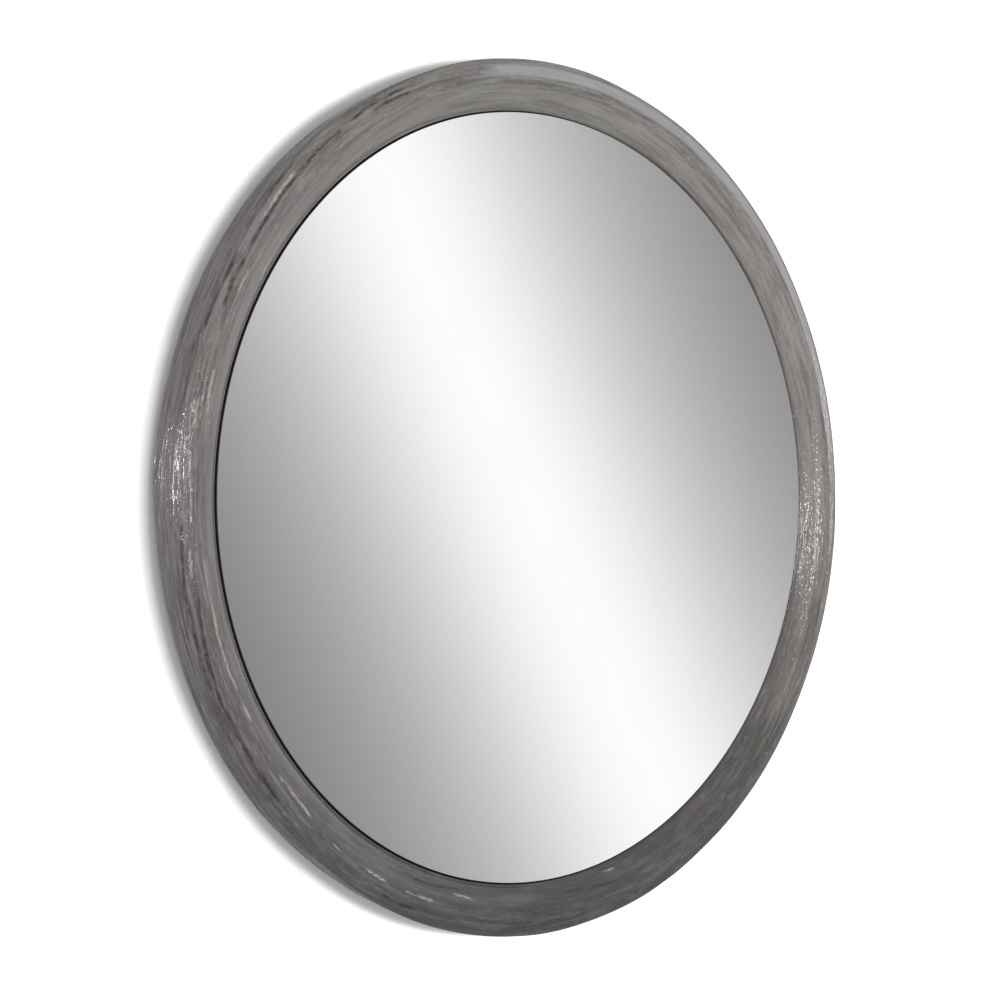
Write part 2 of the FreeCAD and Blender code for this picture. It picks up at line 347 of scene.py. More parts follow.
def thread(mesh, radius, start, end):
    """Winds a thread of triangular section round a shank along Y, down from start to end."""
    half = THREAD_PITCH / 3
    root = radius * THREAD_ROOT
    corners = [(root, start), (radius + THREAD_DEPTH, start - half), (root, start - 2 * half)]
    ring = [mesh.verts.new((across, y, 0)) for across, y in corners]
    edges = [mesh.edges.new((ring[k - 1], ring[k])) for k in range(3)]
    turns = (start - end) / THREAD_PITCH - 1
    steps = round(turns * THREAD_STEPS)
    spun = bmesh.ops.spin(
        mesh, geom=ring + edges, cent=(0, 0, 0), axis=(0, -1, 0), angle=2 * math.pi * turns, steps=steps,
        dvec=(0, -THREAD_PITCH * turns / steps, 0)
    )
    last_edges = of_kind(spun["geom_last"], bmesh.types.BMEdge)
    bmesh.ops.edgeloop_fill(mesh, edges=edges)
    bmesh.ops.edgeloop_fill(mesh, edges=last_edges)


def set_out(mesh, spots, turn_step):
    """Copies what the mesh holds to each spot, each copy turned a step further, and removes the first."""
    first = list(mesh.verts) + list(mesh.edges) + list(mesh.faces)
    first_verts = list(mesh.verts)
    for k, spot in enumerate(spots):
        copy = bmesh.ops.duplicate(mesh, geom=first)["geom"]
        verts = of_kind(copy, bmesh.types.BMVert)
        bmesh.ops.rotate(mesh, verts=verts, cent=(0, 0, 0), matrix=Matrix.Rotation(turn_step * k, 3, "Y"))
        bmesh.ops.translate(mesh, verts=verts, vec=spot)
    bmesh.ops.delete(mesh, geom=first_verts, context="VERTS")


def shade(mesh, sharp_turn=math.radians(35)):
    """Smooth shading, with edges that turn further than sharp_turn kept sharp."""
    bmesh.ops.recalc_face_normals(mesh, faces=mesh.faces)
    for face in mesh.faces:
        face.smooth = True
    for edge in mesh.edges:
        edge.smooth = edge.calc_face_angle(math.pi) < sharp_turn


def on_ring(radius, turn):
    """Point on the wall plane at a radius and at a turn from three o'clock towards the top."""
    return Vector((radius * math.cos(turn), 0, radius * math.sin(turn)))


def board_screws():
    tip = screw_box[0].y
    outline = [
        (0, board_back),
        (RECESS_REACH, board_back),
        (HEAD_RADIUS - HEAD_EASE[0], board_back),
        (HEAD_RADIUS, board_back - HEAD_EASE[1]),
        (SCREW_RADIUS, board_back - HEAD_HEIGHT),
        (SCREW_RADIUS, tip + TIP_LENGTH),
        (0, tip),
    ]
    mesh = turned(outline, Vector((0, 0, 0)), HEAD_STEPS)
    cross_recess(mesh, board_back)
    thread(mesh, SCREW_RADIUS, board_back - board_thickness / 2, tip + TIP_LENGTH)
    step = 2 * math.pi / SCREW_COUNT
    set_out(mesh, [on_ring(screw_ring_radius, step * (k + 0.5)) for k in range(SCREW_COUNT)], SCREW_TURN)
    shade(mesh)
    return new_piece("countersunk_screws", mesh, screw_finish)


screw_finish = plated_steel("yellow_zinc_plated_steel", "a08a4e", "c6b274", 0.25, 0.4)
stand_for(board_screws(), "mirror", "screw_steel", "board_screws")


# Frame sections
# Six shells of smoke-grey cast acrylic, bonded end to end over the core, poured in six shades round the whole
# ring, whose lightness is partly painted shade.
# Long reeds are carved along the outer wall and shoulder by hand, so that they wander, break and differ.
FACE_WIDTH = 0.0515
CREST_SETBACK = 0.019
WALL_HEIGHT = 0.0365
FACE_BOW = 0.004
LIP_ROUND = 0.0018
LIP_HEIGHT = 0.0224
SHELL_WALL = 0.005
HOLLOW_CHAMFER = 0.006
RIM_CLEARANCE = 0.0003
JOINT_GAP = 0.00005
WALL_STEPS = 34
SHOULDER_STEPS = 24
FACE_STEPS = 30
LIP_STEPS = 4
HOLLOW_STEPS = 6
ARC_STEPS = 240
# Shares of the full carving depth: at the crest, its fall over the face, its least there, and at the lip.
CREST_SHARE = 0.4
FACE_FALL = 0.6
FACE_SHARE = 0.15
LIP_SHARE = 0.1
REED_PITCH = 0.0068
REED_GROOVE = 0.0012
LUMP_DEPTH = 0.0015
CHATTER_DEPTH = 0.0004
CUT_HALF_WIDTH = 0.003
CUT_DEPTH = 0.001
CUT_END = 1.2
# How dark the grooves are drawn, as painted shade down in them.
GROOVE_PAINTED_SHADE = 0.45
DEEPEST = 0.0045
EDGE_TAPER = 0.0035
BULGE_HEIGHT = 0.02
BULGE_REACH = 0.09
# The painted reflection's edges, as (place across, softness), and its ends, as (turn, fade) in degrees: a
# pale band along the shoulder.
PAINTED_REFLECTION_LOW = (0.047, 0.003)
PAINTED_REFLECTION_HIGH = (0.061, 0.002)
PAINTED_REFLECTION_START = (6, 4)
PAINTED_REFLECTION_END = (104, 3)
# Noise in patches, as (length along the ring, width across it, seed, level, swing about the level).
LUMPS = (0.14, 0.05, 0, 0.2, 1.3)
REED_WANDER = (0.14, 0.02, 17, 0, 0.006)
REED_BREAKS = (0.05, 0.008, 53, 0.35, 1.8)
CHATTER = (0.05, 0.0025, 71, 0.5, 0.5)
POUR_DRIFT = (0.09, 0.02, 97, 0, 0.25)
CUT_RAG = (0.016, 0.004, 131, 0, 0.0008)
MARK_BREAKUP = (0.02, 0.003, 149, 0.85, 1.2)
# Six poured shades of the cast, each as the turn in degrees where it is purest, and its smoke grey. Their
# hues are the cast's own; their lightness is partly painted shade, darker at the bottom and lighter at the
# upper right.
POURS_AND_PAINTED_SHADE = ((28, "928b87"), (90, "82817d"), (172, "7a7372"), (262, "404446"), (312, "4b4a48"), (352, "817b77"))
# Long marks of the carving tool, cut into the shape and darkened with painted shade, as (turn in degrees from
# three o'clock towards the top, millimetres across).
DARK_CUTS = (
    ((117, 48), (120, 48), (124, 47.5), (127.5, 50)),
    ((116, 54), (120, 53.5), (124, 54)),
    ((128, 51), (133, 50), (137, 52), (141, 52), (145, 53), (149.5, 53.5)),
    ((136, 40), (140, 41.5), (144, 42), (148, 40)),
    ((150, 54), (153, 53), (155, 53), (158, 54)),
    ((150, 47), (153, 45.5), (157, 44.5), (161, 43)),
    ((161, 36), (166, 38.5), (169, 38), (172, 38)),
    ((182.5, 46.5), (187, 43.5), (190, 42.5), (195, 43), (199, 42.5), (203, 42.5)),
    ((191, 53.5), (196, 50), (200, 48), (204, 47.5), (209, 49), (212, 49.5), (219, 49)),
    ((238, 50), (242, 49), (247, 53.5)),
    ((240, 80), (246, 80.5), (252, 85.5)),
    ((271, 82.5), (276.5, 79), (282, 74.5)),
)
# Pale streaks along the crest and the face, as (turn in degrees from three o'clock towards the top,
# millimetres across): painted highlights.
PAINTED_HIGHLIGHTS = (
    ((129, 62), (132.5, 65.5)),
    ((137, 47.5), (141, 49), (146, 50)),
    ((147, 83), (149.5, 84.5), (152, 87)),
    ((150.5, 63), (154, 62), (157, 61.5)),
    ((164, 64), (167, 64), (171, 67)),
    ((167.5, 55), (170, 53), (173, 54)),
    ((167, 58.5), (169, 58), (171.5, 58)),
    ((168, 50.5), (170, 50), (172.5, 50)),
    ((185, 52), (187, 51), (190, 51.5)),
    ((186, 64), (189, 66), (193, 66.7), (197, 65.5), (201, 65.5), (205, 68), (209, 68.5)),
    ((215.5, 64), (218, 65.5), (221, 65.5), (224, 63.5)),
    ((227.5, 61.5), (231, 61)),
    ((234, 62), (237, 62), (239, 61.5)),
    ((241, 63), (244.5, 64), (247.5, 64)),
    ((250, 79), (253, 78), (255, 74.5)),
    ((279, 91.5), (283, 88)),
)

frame_nodes = sorted(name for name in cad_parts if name.startswith("frame_section"))
outer_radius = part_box(frame_nodes[0])[1].x
crest_height = board_back - cad_box[0].y
rim_radius = outer_radius - FACE_WIDTH
section_turn = 2 * math.pi / len(frame_nodes)


def arc_through(start, end, bow, steps):
    """Points on the arc from start to end that bulges outward by bow, the ends included."""
    chord = end - start
    half = chord.length / 2
    radius = (half * half + bow * bow) / (2 * bow)
    outward = Vector((-chord.y, chord.x)).normalized()
    if outward.y < 0:
        outward = -outward
    hub = (start + end) / 2 - outward * (radius - bow)
    first = math.atan2(*(start - hub).yx)
    last = math.atan2(*(end - hub).yx)
    turns = [first + (last - first) * k / steps for k in range(steps + 1)]
    return [hub + radius * Vector((math.cos(turn), math.sin(turn))) for turn in turns]


def section_outline():
    """(radius, height, carving share) points round a section, from the back edge over the crest and back."""
    points = [(outer_radius, WALL_HEIGHT * k / WALL_STEPS, 1.0) for k in range(WALL_STEPS)]
    rise = crest_height - WALL_HEIGHT
    for k in range(SHOULDER_STEPS):
        turn = math.pi / 2 * k / SHOULDER_STEPS
        radius = outer_radius - CREST_SETBACK * (1 - math.cos(turn))
        share = 1 - (1 - CREST_SHARE) * k / SHOULDER_STEPS
        points.append((radius, WALL_HEIGHT + rise * math.sin(turn), share))
    crest = Vector((outer_radius - CREST_SETBACK, crest_height))
    foot = Vector((rim_radius + LIP_ROUND, LIP_HEIGHT + LIP_ROUND))
    for k, spot in enumerate(arc_through(crest, foot, FACE_BOW, FACE_STEPS)[:-1]):
        points.append((spot.x, spot.y, max(FACE_SHARE, CREST_SHARE - FACE_FALL * k / FACE_STEPS)))
    for k in range(LIP_STEPS + 1):
        turn = math.pi / 2 * k / LIP_STEPS
        away = Vector((1 - math.sin(turn), math.cos(turn))) * LIP_ROUND
        points.append((rim_radius + away.x, LIP_HEIGHT + away.y, LIP_SHARE * (1 - k / LIP_STEPS)))
    rim_base = board_thickness + RIM_CLEARANCE
    inner_crest = crest - Vector((0, SHELL_WALL))
    inner_foot = foot + Vector((SHELL_WALL, 0))
    hollow_wall = outer_radius - SHELL_WALL
    inside = [(rim_radius, rim_base), (inner_foot.x, rim_base)]
    inside += arc_through(inner_crest, inner_foot, FACE_BOW, HOLLOW_STEPS)[::-1]
    inside.append((hollow_wall - HOLLOW_CHAMFER, inner_crest.y))
    inside.append((hollow_wall, inner_crest.y - HOLLOW_CHAMFER))
    inside.append((hollow_wall, 0))
    return points + [(radius, height, 0) for radius, height in inside]


def patchy(spot, across, patches):
    """Noise about a level, in patches of a length along the ring and a width across it."""
    length, width, seed, level, swing = patches
    return level + swing * noise.noise((spot.x / length, spot.z / length, across / width + seed))


def limited(value):
    """The value, kept from 0 to 1."""
    return min(1, max(0, value))


def carving(spot, across):
    """Depth of the carving in metres, and how far the spot lies down in a groove, from 0 to 1."""
    lumps = limited(patchy(spot, across, LUMPS))
    reed = 1 - abs(math.sin(math.pi * (across + patchy(spot, across, REED_WANDER)) / REED_PITCH))
    groove = limited(patchy(spot, across, REED_BREAKS)) * reed * reed
    chatter = patchy(spot, across, CHATTER)
    return LUMP_DEPTH * lumps + REED_GROOVE * groove + CHATTER_DEPTH * chatter, groove


def mark_at(marks, turn, across, rag):
    """Strength from 0 to 1 of the nearest long mark at a turn in degrees and a place across."""
    strongest = 0
    for mark in marks:
        if not mark[0][0] < turn < mark[-1][0]:
            continue
        for (start, low), (end, high) in zip(mark, mark[1:]):
            if start <= turn <= end:
                middle = (low + (high - low) * (turn - start) / (end - start)) / 1000 + rag
                off = abs(across - middle) / CUT_HALF_WIDTH
                ends = min(1, (turn - mark[0][0]) / CUT_END, (mark[-1][0] - turn) / CUT_END)
                strongest = max(strongest, (1 - off) * ends)
    return strongest


def painted_reflection_at(turn, across):
    """Strength from 0 to 1 of the painted reflection, a pale band along the shoulder, at a turn in degrees.
    """
    (low, low_soft), (high, high_soft) = PAINTED_REFLECTION_LOW, PAINTED_REFLECTION_HIGH
    (start, start_fade), (end, end_fade) = PAINTED_REFLECTION_START, PAINTED_REFLECTION_END
    edges = limited(min((across - low) / low_soft, (high - across) / high_soft))
    return edges * limited(min((turn - start) / start_fade, (end - turn) / end_fade))


def edge_taper(spot, across):
    """Depth of the taper towards the back edge of the outer wall, which is left out near nine o'clock."""
    kept = min(1, abs(spot.z - BULGE_HEIGHT) / BULGE_REACH) if spot.x < 0 else 1
    return EDGE_TAPER * max(0, 1 - across / WALL_HEIGHT) * kept


def pour_and_painted_shade_at(turn, drift):
    """Colour of the cast at a turn round the ring, each poured shade running into the next, with painted
    shade darker at the bottom.
    """
    place = math.degrees(turn + drift) % 360
    for (before, this_shade), (after, next_shade) in zip(pour_and_painted_shades, pour_and_painted_shades[1:]):
        if place <= after:
            return this_shade.lerp(next_shade, (place - before) / (after - before))


pour_and_painted_shades = [(turn, Vector(colour(code))) for turn, code in POURS_AND_PAINTED_SHADE]
pour_and_painted_shades = [(pour_and_painted_shades[-1][0] - 360, pour_and_painted_shades[-1][1])] + pour_and_painted_shades + [(pour_and_painted_shades[0][0] + 360, pour_and_painted_shades[0][1])]


def acrylic_section(index, material):
    """One shell: its outline is spun through a sixth of a turn, capped, and then carved from outside."""
    mesh = bmesh.new()
    across_layer = mesh.verts.layers.float.new("across")
    share_layer = mesh.verts.layers.float.new("carved_share")
    groove_layer = mesh.verts.layers.float.new("groove")
    painted_highlight_layer = mesh.verts.layers.float.new("painted_highlight")
    painted_reflection_layer = mesh.verts.layers.float.new("haze")
    pour_and_painted_shade_layer = mesh.verts.layers.float_color.new("pour_and_painted_shade")
    ring = []
    travelled = 0
    last = None
    for radius, height, share in section_outline():
        spot = Vector((radius, board_back - height, 0))
        travelled += (spot - last).length if last else 0
        last = spot
        vert = mesh.verts.new(spot)
        vert[across_layer] = travelled
        vert[share_layer] = share
        ring.append(vert)
    # The flat back face runs on from the wall's edge, so its pattern does too.
    ring[-1][across_layer] = -SHELL_WALL
    edges = [mesh.edges.new((ring[k - 1], ring[k])) for k in range(len(ring))]
    gap_turn = JOINT_GAP / outer_radius
    start = Matrix.Rotation(-(section_turn * index + gap_turn / 2), 3, "Y")
    bmesh.ops.rotate(mesh, verts=ring, cent=(0, 0, 0), matrix=start)
    spun = bmesh.ops.spin(
        mesh, geom=ring + edges, cent=(0, 0, 0), axis=(0, -1, 0), angle=section_turn - gap_turn,
        steps=ARC_STEPS
    )
    last_edges = of_kind(spun["geom_last"], bmesh.types.BMEdge)
    bmesh.ops.edgeloop_fill(mesh, edges=edges)
    bmesh.ops.edgeloop_fill(mesh, edges=last_edges)
    for edge in edges + last_edges:
        edge.smooth = False
    bmesh.ops.recalc_face_normals(mesh, faces=mesh.faces)
    mesh.normal_update()
    carved = [vert for vert in mesh.verts if vert[share_layer] > 0]
    # Each vertex takes the poured colour at its turn, whose lightness is partly painted shade.
    for vert in mesh.verts:
        turn = math.atan2(vert.co.z, vert.co.x)
        vert[pour_and_painted_shade_layer] = pour_and_painted_shade_at(turn, patchy(vert.co, vert[across_layer], POUR_DRIFT))
    moves = []
    for vert in carved:
        across = vert[across_layer]
        depth, groove = carving(vert.co, across)
        turn = math.degrees(math.atan2(vert.co.z, vert.co.x))
        rag = patchy(vert.co, across, CUT_RAG)
        mark_kept = min(1, patchy(vert.co, across, MARK_BREAKUP))
        cut = mark_at(DARK_CUTS, turn % 360, across, rag) * mark_kept
        depth = min(DEEPEST, depth + CUT_DEPTH * max(0, cut) + edge_taper(vert.co, across))
        radial = Vector((vert.co.x, 0, vert.co.z)).normalized()
        along = Vector((-radial.z, 0, radial.x))
        outward = radial if across < WALL_HEIGHT else vert.normal - along * vert.normal.dot(along)
        moves.append(outward.normalized() * (depth * vert[share_layer]))
        # Painted shade: the spot is drawn darker down in a groove or a cut.
        vert[groove_layer] = max(GROOVE_PAINTED_SHADE * groove * vert[share_layer], cut)
        # Painted highlights: pale streaks along the crest.
        vert[painted_highlight_layer] = mark_at(PAINTED_HIGHLIGHTS, turn % 360, across, rag) * mark_kept
        # Painted reflection along the shoulder.
        vert[painted_reflection_layer] = painted_reflection_at(turn, across)
    for vert, move in zip(carved, moves):
        vert.co -= move
    for face in mesh.faces:
        face.smooth = len(face.verts) == 4
    return new_piece(f"acrylic_section_{index + 1}", mesh, material)


def blend(tree, share, tone, code):
    """Lays a share of a colour over a tone."""
    return add(tree, "Mix", {0: share.outputs[0], 6: tone, 7: colour(code)}, data_type="RGBA").outputs[2]


def streaked_acrylic():
    """Cast acrylic, carved and flame-polished: dark and pale streaks along the ring, under a clear gloss."""
    material, tree, shader = new_finish(
        "carved_smoke_grey_cast_acrylic", IOR=1.49, Specular_IOR_Level=0.25,
        Coat_Weight=0.8, Coat_Roughness=0.09, Coat_IOR=1.49
    )
    place = add(tree, "SeparateXYZ", {"Vector": add(tree, "TexCoord").outputs["Object"]})
    across = add(tree, "Attribute", attribute_name="across").outputs["Fac"]
    groove = add(tree, "Attribute", attribute_name="groove").outputs["Fac"]
    # The cast's poured colours, partly painted shade: darker at the bottom, lighter at the upper right.
    tone = add(tree, "Attribute", attribute_name="pour_and_painted_shade").outputs["Color"]
    spot = add(tree, "CombineXYZ", {0: place.outputs[0], 1: place.outputs[2], 2: across}).outputs[0]
    # The streaks are strong outside the crest, and fainter on the polished face inside it and at the bottom.
    smooth = add(
        tree, "MapRange",
        {"Value": place.outputs[0], "From Min": -0.2, "From Max": 0.25, "To Min": 0.25, "To Max": 0.6},
    )
    beyond = add(
        tree, "MapRange", {"Value": across, "From Min": 0.08, "From Max": 0.06, "To Min": smooth.outputs[0]}
    )
    below = add(
        tree, "MapRange", {"Value": place.outputs[2], "From Min": -0.42, "From Max": -0.2, "To Min": 0.35}
    )
    outside = add(tree, "Math", {0: beyond.outputs[0], 1: below.outputs[0]}, operation="MULTIPLY")
    # Patches of noise, as (length along the ring, width across it, detail).
    patch_sizes = {
        "cloud": (0.12, 0.012, 2.0), "vein": (0.055, 0.004, 1.0), "grain": (0.009, 0.0024, 1.0),
        "dash": (0.03, 0.003, 1.0), "tint": (0.06, 0.012, 1.0), "tick": (0.006, 0.003, 1.0),
        "speck": (0.004, 0.0018, 0.0),
    }
    patches = {}
    for name, (length, width, detail) in patch_sizes.items():
        patch = add(tree, "Mapping", {"Vector": spot, "Scale": (1 / length, 1 / length, 1 / width)})
        patches[name] = add(
            tree, "TexNoise", {"Vector": patch.outputs[0], "Scale": 1.0, "Detail": detail, "Distortion": 0.5}
        ).outputs[0]
    # Colours laid over the cast's shades, as (patches, noise where it starts, noise where it is full, most,
    # colour). The pale dashes are partly the cast's own streaks and partly painted highlights.
    layers = (
        ("tint", 0.42, 0.3, 0.25, "7c867a"),
        ("tint", 0.55, 0.7, 0.25, "86757a"),
        ("cloud", 0.5, 0.68, 0.4, "5f5759"),
        ("vein", 0.53, 0.66, 0.45, "4a4142"),
        ("vein", 0.46, 0.36, 0.3, "a8a4a1"),
        ("grain", 0.55, 0.75, 0.3, "a4a2a0"),
        ("grain", 0.45, 0.3, 0.3, "514a4a"),
        ("dash", 0.7, 0.78, 0.5, "bdbbb8"),
    )
    for name, low, high, most, code in layers:
        share = add(
            tree, "MapRange", {"Value": patches[name], "From Min": low, "From Max": high, "To Max": most}
        )
        if name not in ("tint", "cloud"):
            share = add(tree, "Math", {0: share.outputs[0], 1: outside.outputs[0]}, operation="MULTIPLY")
        tone = blend(tree, share, tone, code)
    # The inner face is drawn up to a quarter lighter than the rest of the ring.
    inner_face_lift = add(
        tree, "MapRange",
        {"Value": across, "From Min": 0.06, "From Max": 0.078, "To Min": 1.0, "To Max": 1.25},
    )
    tone = add(tree, "VectorMath", {0: tone, "Scale": inner_face_lift.outputs[0]}, operation="SCALE").outputs[0]
    # Painted shade: grooves and cuts are darkened where they are deep, broken up by the ticks.
    depth = add(tree, "MapRange", {"Value": groove, "From Min": 0.12, "From Max": 0.7})
    ticks = add(
        tree, "MapRange", {"Value": patches["tick"], "From Min": 0.3, "From Max": 0.6, "To Min": 0.45}
    )
    shade_share = add(tree, "Math", {0: depth.outputs[0], 1: ticks.outputs[0]}, operation="MULTIPLY")
    tone = blend(tree, shade_share, tone, "3a3132")
    # Painted reflection: a pale, cool band along the shoulder at the upper right.
    haze = add(tree, "Attribute", attribute_name="haze").outputs["Fac"]
    painted_reflection_share = add(tree, "MapRange", {"Value": haze, "To Max": 0.5})
    tone = blend(tree, painted_reflection_share, tone, "c2c1c7")
    # Painted highlights: pale streaks along the crest, broken into specks.
    painted_highlight = add(tree, "Attribute", attribute_name="painted_highlight").outputs["Fac"]
    painted_highlight_strength = add(tree, "MapRange", {"Value": painted_highlight, "From Min": 0.3, "From Max": 0.7, "To Max": 0.9})
    specks = add(
        tree, "MapRange", {"Value": patches["speck"], "From Min": 0.35, "From Max": 0.6, "To Min": 0.35}
    )
    painted_highlight_share = add(tree, "Math", {0: painted_highlight_strength.outputs[0], 1: specks.outputs[0]}, operation="MULTIPLY")
    tone = blend(tree, painted_highlight_share, tone, "b9b5b0")
    # Painted shade: the last of the face, where it dips to the pane, is darkened, more on the right-hand
    # side.
    rim = add(tree, "MapRange", {"Value": across, "From Min": 0.0966, "From Max": 0.098})
    far_side = add(
        tree, "MapRange", {"Value": place.outputs[0], "From Min": -0.1, "From Max": 0.2, "To Max": 0.7}
    )
    lip_painted_shade = add(tree, "Math", {0: rim.outputs[0], 1: far_side.outputs[0]}, operation="MULTIPLY")
    tone = blend(tree, lip_painted_shade, tone, "3a3837")
    sheen = add(tree, "MapRange", {"Value": patches["grain"], "To Min": 0.3, "To Max": 0.5})
    veins = add(tree, "Bump", {"Height": patches["vein"], "Strength": outside.outputs[0], "Distance": 0.0007})
    grain = add(
        tree, "Bump", {"Height": patches["grain"], "Strength": outside.outputs[0], "Distance": 0.00012}
    )
    flecks = add(tree, "Bump", {"Height": patches["tick"], "Strength": 1.0, "Distance": 0.0005})
    tree.links.new(veins.outputs[0], grain.inputs["Normal"])
    tree.links.new(grain.outputs[0], flecks.inputs["Normal"])
    tree.links.new(tone, shader.inputs["Base Color"])
    tree.links.new(sheen.outputs[0], shader.inputs["Roughness"])
    tree.links.new(grain.outputs[0], shader.inputs["Normal"])
    tree.links.new(flecks.outputs[0], shader.inputs["Coat Normal"])
    return material


acrylic_finish = streaked_acrylic()
sections = [acrylic_section(index, acrylic_finish) for index in range(len(frame_nodes))]
for section, node in zip(sections, frame_nodes):
    stand_for(section, "mirror", "streaked_acrylic", node)


# Hangers
# Two strap hangers of zinc-plated sheet, folded round the bar of a D-shaped wire ring that swings in it.
# The edges of the strap are rolled slightly round by the press.
WIRE_RADIUS = 0.0015
RING_HALF_WIDTH = 0.011
RING_CORNER = 0.003
RING_LEG = 0.007
WIRE_STEPS = 16
CORNER_STEPS = 8
BOW_STEPS = 32
STRAP_EDGE = 0.00015
SAME_CORNER = 1e-6
FLAT_TURN = math.radians(2)
CRISP_TURN = math.radians(50)
sides = ("left", "right")


def pressed_strap(side):
    """Strap with the folded sheet's own shape, and its edges eased."""
    node = f"hanger_strap_{side}"
    mesh = bmesh.new()
    mesh.from_mesh(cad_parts[node].data)
    bmesh.ops.remove_doubles(mesh, verts=mesh.verts, dist=SAME_CORNER)
    bmesh.ops.dissolve_limit(mesh, angle_limit=FLAT_TURN, verts=mesh.verts, edges=mesh.edges)
    crisp = [edge for edge in mesh.edges if edge.calc_face_angle(0) > CRISP_TURN]
    bmesh.ops.bevel(
        mesh, geom=crisp, offset=STRAP_EDGE, offset_type="OFFSET", affect="EDGES", segments=2, profile=0.5,
        material=-1, clamp_overlap=True
    )
    shade(mesh)
    stand_for(new_piece(f"pressed_strap_{side}", mesh, strap_finish), "mirror", "hanger_steel", node)


def run_straight(mesh, edges, step):
    """Carries a loop of edges on by a straight run, and returns the loop at its end."""
    made = bmesh.ops.extrude_edge_only(mesh, edges=edges)["geom"]
    moved = of_kind(made, bmesh.types.BMVert)
    bmesh.ops.translate(mesh, verts=moved, vec=step)
    return [edge for edge in of_kind(made, bmesh.types.BMEdge) if set(moved).issuperset(edge.verts)]


def run_bend(mesh, edges, hub, turn, steps):
    """Carries a loop of edges round a bend, and returns the loop at its end."""
    verts = list({vert for edge in edges for vert in edge.verts})
    made = bmesh.ops.spin(
        mesh, geom=verts + edges, cent=hub, axis=(0, 1, 0), angle=turn, steps=steps
    )
    return of_kind(made["geom_last"], bmesh.types.BMEdge)


def wire_ring(side):
    """Round wire, run along the bar, up a leg, over the bow and back down to where it starts."""
    node = f"hanger_ring_{side}"
    low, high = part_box(node)
    bar = Vector(((low.x + high.x) / 2, (low.y + high.y) / 2, low.z + WIRE_RADIUS))
    flat = RING_HALF_WIDTH - RING_CORNER
    mesh = bmesh.new()
    start = Matrix.Translation(bar - Vector((flat, 0, 0))) @ Matrix.Rotation(math.pi / 2, 4, "Y")
    bmesh.ops.create_circle(mesh, segments=WIRE_STEPS, radius=WIRE_RADIUS, matrix=start)
    quarter = -math.pi / 2
    leg = Vector((0, 0, RING_LEG - RING_CORNER))
    loop = run_straight(mesh, list(mesh.edges), Vector((2 * flat, 0, 0)))
    loop = run_bend(mesh, loop, bar + Vector((flat, 0, RING_CORNER)), quarter, CORNER_STEPS)
    loop = run_straight(mesh, loop, leg)
    loop = run_bend(mesh, loop, bar + Vector((0, 0, RING_LEG)), 2 * quarter, BOW_STEPS)
    loop = run_straight(mesh, loop, -leg)
    run_bend(mesh, loop, bar + Vector((-flat, 0, RING_CORNER)), quarter, CORNER_STEPS)
    bmesh.ops.remove_doubles(mesh, verts=mesh.verts, dist=SAME_CORNER)
    shade(mesh)
    stand_for(new_piece(f"wire_ring_{side}", mesh, strap_finish), f"ring_{side}", "hanger_steel", node)


strap_finish = plated_steel("zinc_plated_pressed_steel", "a6a7a8", "c4c5c5", 0.28, 0.42)
for side in sides:
    pressed_strap(side)
    wire_ring(side)


# Hanger screws
# Two pan-head screws through both layers of each strap into the board.
# They have the finish, the thread and the cross recess of the board's screws.
PAN_SHANK = 0.00175
PAN_RADIUS = 0.0035
PAN_HEIGHT = 0.0022
PAN_STEPS = 5
PAN_LAND = 0.72
PAN_DOME = 0.6
PAN_TURN = 0.9
HOLE_SPACING = 0.0135


def pan_head_screws(side):
    node = f"hanger_screws_{side}"
    low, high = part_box(node)
    top = high.y
    tip = low.y
    dome = []
    land = PAN_RADIUS * PAN_LAND
    for k in range(PAN_STEPS + 1):
        turn = math.pi / 2 * k / PAN_STEPS
        radius = land + (PAN_RADIUS - land) * math.sin(turn)
        dome.append((radius, top - PAN_HEIGHT * PAN_DOME * (1 - math.cos(turn))))
    seat = top - PAN_HEIGHT
    outline = [(0, top), (RECESS_REACH, top)] + dome
    outline += [(PAN_RADIUS, seat), (PAN_SHANK, seat), (PAN_SHANK, tip + TIP_LENGTH), (0, tip)]
    mesh = turned(outline, Vector((0, 0, 0)), HEAD_STEPS)
    cross_recess(mesh, top)
    thread(mesh, PAN_SHANK, board_back, tip + TIP_LENGTH)
    middle = Vector(((low.x + high.x) / 2, 0, (low.z + high.z) / 2))
    step = Vector((0, 0, HOLE_SPACING / 2))
    set_out(mesh, [middle + step, middle - step], PAN_TURN)
    shade(mesh)
    stand_for(new_piece(f"pan_head_screws_{side}", mesh, screw_finish), "mirror", "screw_steel", node)


for side in sides:
    pan_head_screws(side)


# Wall bumpers
# Four stick-on bumpers moulded from black rubber, which keep the board off the wall.
# Each has a thin skirt, a tapered side, a rounded rim and a shallow dimple that grips the wall.
BUMPER_RADIUS = 0.008
BUMPER_SKIRT = 0.0012
BUMPER_TAPER = 0.0016
BUMPER_ROUND = 0.0009
BUMPER_ROUND_STEPS = 4
BUMPER_DIMPLE = 0.0005
# Where the dimple's slope starts and ends, as shares of the crown's radius, and how deep it has then fallen.
DIMPLE_SHARES = (0.55, 0.45, 0.7)
BUMPER_STEPS = 40
BUMPER_TURN = math.radians(36)
RUBBER_GRAIN = 0.0005


